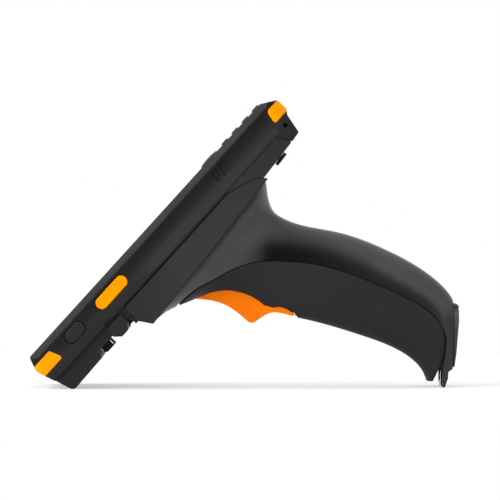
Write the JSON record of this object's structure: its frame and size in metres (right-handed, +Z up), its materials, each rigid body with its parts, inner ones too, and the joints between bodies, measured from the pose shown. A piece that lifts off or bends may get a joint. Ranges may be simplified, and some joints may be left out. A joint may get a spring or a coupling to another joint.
{
  "type": "portable barcode data terminal",
  "caption": "Handheld barcode terminal with keypad and screen, clipped into a pistol grip with trigger and base lid.",
  "frame": {"origin": "middle of the object's footprint, on the surface it stands on", "axes": "+Z up, +X from the scanner head towards the grip's base, +Y away from the side seen in the picture"},
  "size_m": [0.2406, 0.077, 0.1613],
  "materials": {
    "body_plastic": "dark grey moulded plastic, fine texture",
    "grip_plastic": "dark grey moulded plastic, fine texture",
    "grip_soft": "dark grey soft-touch overmould",
    "bumper_orange": "yellow-orange moulded plastic",
    "trigger_orange": "orange moulded plastic, satin",
    "key_plastic": "grey key caps with plain legends",
    "power_red": "dark red key cap",
    "key_mat": "grey silicone",
    "screen_glass": "cover glass",
    "display": "display panel",
    "window_glass": "dark red scan window",
    "circuit": "circuit board",
    "engine_black": "black moulded optics housing",
    "battery": "battery wrap",
    "contact": "black connector housing",
    "steel": "steel",
    "bright_steel": "polished steel"
  },
  "bodies": {
    "body": {"front_housing": "body_plastic", "rear_housing": "body_plastic", "head_bumper_right": "bumper_orange", "head_bumper_left": "bumper_orange", "keypad_bumper_right": "bumper_orange", "keypad_bumper_left": "bumper_orange", "screen_glass": "screen_glass", "display_module": "display", "main_board": "circuit", "keypad_mat": "key_mat", "scan_window": "window_glass", "scan_engine": "engine_black", "housing_screws": "steel", "battery_pack": "battery", "battery_cover": "body_plastic", "strap_anchor": "body_plastic", "cradle": "grip_plastic", "contact_block": "contact", "grip_back_shell": "grip_plastic", "grip_front_shell": "grip_soft", "grip_screws": "steel", "trigger_pin": "steel", "trigger_spring": "steel", "trigger_switch": "contact", "grip_cell": "battery", "lid_pin": "steel", "lanyard_bar": "bright_steel"},
    "trigger": {"trigger": "trigger_orange"},
    "base_lid": {"base_lid": "grip_soft"},
    "front_catch": {"front_catch": "grip_plastic"},
    "battery_latch": {"battery_latch": "body_plastic"},
    "scan_button_left": {"scan_button_left": "bumper_orange"},
    "side_key_left": {"side_key_left": "body_plastic"},
    "scan_button_right": {"scan_button_right": "bumper_orange"},
    "side_key_right": {"side_key_right": "body_plastic"},
    "navigation_ring": {"navigation_ring": "key_plastic"},
    "enter_key": {"enter_key": "bumper_orange"},
    "soft_key_left": {"soft_key_left": "key_plastic"},
    "soft_key_right": {"soft_key_right": "key_plastic"},
    "key_r1_c1": {"key_r1_c1": "key_plastic"},
    "key_r1_c2": {"key_r1_c2": "key_plastic"},
    "key_r1_c3": {"key_r1_c3": "key_plastic"},
    "key_r1_c4": {"key_r1_c4": "key_plastic"},
    "key_r1_c5": {"key_r1_c5": "key_plastic"},
    "key_r2_c1": {"key_r2_c1": "key_plastic"},
    "key_r2_c2": {"key_r2_c2": "key_plastic"},
    "key_r2_c3": {"key_r2_c3": "key_plastic"},
    "key_r2_c4": {"key_r2_c4": "key_plastic"},
    "key_r2_c5": {"key_r2_c5": "key_plastic"},
    "key_r3_c1": {"key_r3_c1": "key_plastic"},
    "key_r3_c2": {"key_r3_c2": "key_plastic"},
    "key_r3_c3": {"key_r3_c3": "key_plastic"},
    "key_r3_c4": {"key_r3_c4": "key_plastic"},
    "key_r3_c5": {"key_r3_c5": "key_plastic"},
    "key_r4_c1": {"key_r4_c1": "power_red"},
    "key_r4_c2": {"key_r4_c2": "key_plastic"},
    "key_r4_c3": {"key_r4_c3": "key_plastic"},
    "key_r4_c4": {"key_r4_c4": "key_plastic"},
    "key_r4_c5": {"key_r4_c5": "key_plastic"}
  },
  "joints": [
    {"name": "trigger_pull", "type": "hinge", "parent": "body", "child": "trigger", "pos_m": [-0.019, 0, 0.05708], "axis": [0, -1, 0], "range_deg": [0, 6], "stiffness_Nm_per_rad": 2, "springref_deg": -5.73},
    {"name": "base_lid_hinge", "type": "hinge", "parent": "body", "child": "base_lid", "pos_m": [0.1185, 0, 0.04508], "axis": [0, -1, 0], "range_deg": [0, 95]},
    {"name": "front_catch_release", "type": "slide", "parent": "body", "child": "front_catch", "axis": [0.6729, 0, 0.7397], "range_m": [0, 0.002], "stiffness_N_per_m": 600, "springref_m": -0.001},
    {"name": "battery_latch_slide", "type": "slide", "parent": "body", "child": "battery_latch", "axis": [0.6127, 0, 0.7903], "range_m": [0, 0.003]},
    {"name": "scan_button_left_press", "type": "slide", "parent": "body", "child": "scan_button_left", "axis": [0, 1, 0], "range_m": [0, 0.0006], "stiffness_N_per_m": 900},
    {"name": "side_key_left_press", "type": "slide", "parent": "body", "child": "side_key_left", "axis": [0, 1, 0], "range_m": [0, 0.0006], "stiffness_N_per_m": 900},
    {"name": "scan_button_right_press", "type": "slide", "parent": "body", "child": "scan_button_right", "axis": [0, -1, 0], "range_m": [0, 0.0006], "stiffness_N_per_m": 900},
    {"name": "side_key_right_press", "type": "slide", "parent": "body", "child": "side_key_right", "axis": [0, -1, 0], "range_m": [0, 0.0006], "stiffness_N_per_m": 900},
    {"name": "navigation_ring_press", "type": "slide", "parent": "body", "child": "navigation_ring", "axis": [0.7397, 0, -0.6729], "range_m": [0, 0.0006], "stiffness_N_per_m": 500},
    {"name": "enter_key_press", "type": "slide", "parent": "body", "child": "enter_key", "axis": [0.7397, 0, -0.6729], "range_m": [0, 0.0006], "stiffness_N_per_m": 500},
    {"name": "soft_key_left_press", "type": "slide", "parent": "body", "child": "soft_key_left", "axis": [0.7397, 0, -0.6729], "range_m": [0, 0.0006], "stiffness_N_per_m": 500},
    {"name": "soft_key_right_press", "type": "slide", "parent": "body", "child": "soft_key_right", "axis": [0.7397, 0, -0.6729], "range_m": [0, 0.0006], "stiffness_N_per_m": 500},
    {"name": "key_r1_c1_press", "type": "slide", "parent": "body", "child": "key_r1_c1", "axis": [0.7397, 0, -0.6729], "range_m": [0, 0.0006], "stiffness_N_per_m": 500},
    {"name": "key_r1_c2_press", "type": "slide", "parent": "body", "child": "key_r1_c2", "axis": [0.7397, 0, -0.6729], "range_m": [0, 0.0006], "stiffness_N_per_m": 500},
    {"name": "key_r1_c3_press", "type": "slide", "parent": "body", "child": "key_r1_c3", "axis": [0.7397, 0, -0.6729], "range_m": [0, 0.0006], "stiffness_N_per_m": 500},
    {"name": "key_r1_c4_press", "type": "slide", "parent": "body", "child": "key_r1_c4", "axis": [0.7397, 0, -0.6729], "range_m": [0, 0.0006], "stiffness_N_per_m": 500},
    {"name": "key_r1_c5_press", "type": "slide", "parent": "body", "child": "key_r1_c5", "axis": [0.7397, 0, -0.6729], "range_m": [0, 0.0006], "stiffness_N_per_m": 500},
    {"name": "key_r2_c1_press", "type": "slide", "parent": "body", "child": "key_r2_c1", "axis": [0.7397, 0, -0.6729], "range_m": [0, 0.0006], "stiffness_N_per_m": 500},
    {"name": "key_r2_c2_press", "type": "slide", "parent": "body", "child": "key_r2_c2", "axis": [0.7397, 0, -0.6729], "range_m": [0, 0.0006], "stiffness_N_per_m": 500},
    {"name": "key_r2_c3_press", "type": "slide", "parent": "body", "child": "key_r2_c3", "axis": [0.7397, 0, -0.6729], "range_m": [0, 0.0006], "stiffness_N_per_m": 500},
    {"name": "key_r2_c4_press", "type": "slide", "parent": "body", "child": "key_r2_c4", "axis": [0.7397, 0, -0.6729], "range_m": [0, 0.0006], "stiffness_N_per_m": 500},
    {"name": "key_r2_c5_press", "type": "slide", "parent": "body", "child": "key_r2_c5", "axis": [0.7397, 0, -0.6729], "range_m": [0, 0.0006], "stiffness_N_per_m": 500},
    {"name": "key_r3_c1_press", "type": "slide", "parent": "body", "child": "key_r3_c1", "axis": [0.7397, 0, -0.6729], "range_m": [0, 0.0006], "stiffness_N_per_m": 500},
    {"name": "key_r3_c2_press", "type": "slide", "parent": "body", "child": "key_r3_c2", "axis": [0.7397, 0, -0.6729], "range_m": [0, 0.0006], "stiffness_N_per_m": 500},
    {"name": "key_r3_c3_press", "type": "slide", "parent": "body", "child": "key_r3_c3", "axis": [0.7397, 0, -0.6729], "range_m": [0, 0.0006], "stiffness_N_per_m": 500},
    {"name": "key_r3_c4_press", "type": "slide", "parent": "body", "child": "key_r3_c4", "axis": [0.7397, 0, -0.6729], "range_m": [0, 0.0006], "stiffness_N_per_m": 500},
    {"name": "key_r3_c5_press", "type": "slide", "parent": "body", "child": "key_r3_c5", "axis": [0.7397, 0, -0.6729], "range_m": [0, 0.0006], "stiffness_N_per_m": 500},
    {"name": "key_r4_c1_press", "type": "slide", "parent": "body", "child": "key_r4_c1", "axis": [0.7397, 0, -0.6729], "range_m": [0, 0.0006], "stiffness_N_per_m": 500},
    {"name": "key_r4_c2_press", "type": "slide", "parent": "body", "child": "key_r4_c2", "axis": [0.7397, 0, -0.6729], "range_m": [0, 0.0006], "stiffness_N_per_m": 500},
    {"name": "key_r4_c3_press", "type": "slide", "parent": "body", "child": "key_r4_c3", "axis": [0.7397, 0, -0.6729], "range_m": [0, 0.0006], "stiffness_N_per_m": 500},
    {"name": "key_r4_c4_press", "type": "slide", "parent": "body", "child": "key_r4_c4", "axis": [0.7397, 0, -0.6729], "range_m": [0, 0.0006], "stiffness_N_per_m": 500},
    {"name": "key_r4_c5_press", "type": "slide", "parent": "body", "child": "key_r4_c5", "axis": [0.7397, 0, -0.6729], "range_m": [0, 0.0006], "stiffness_N_per_m": 500}
  ]
}
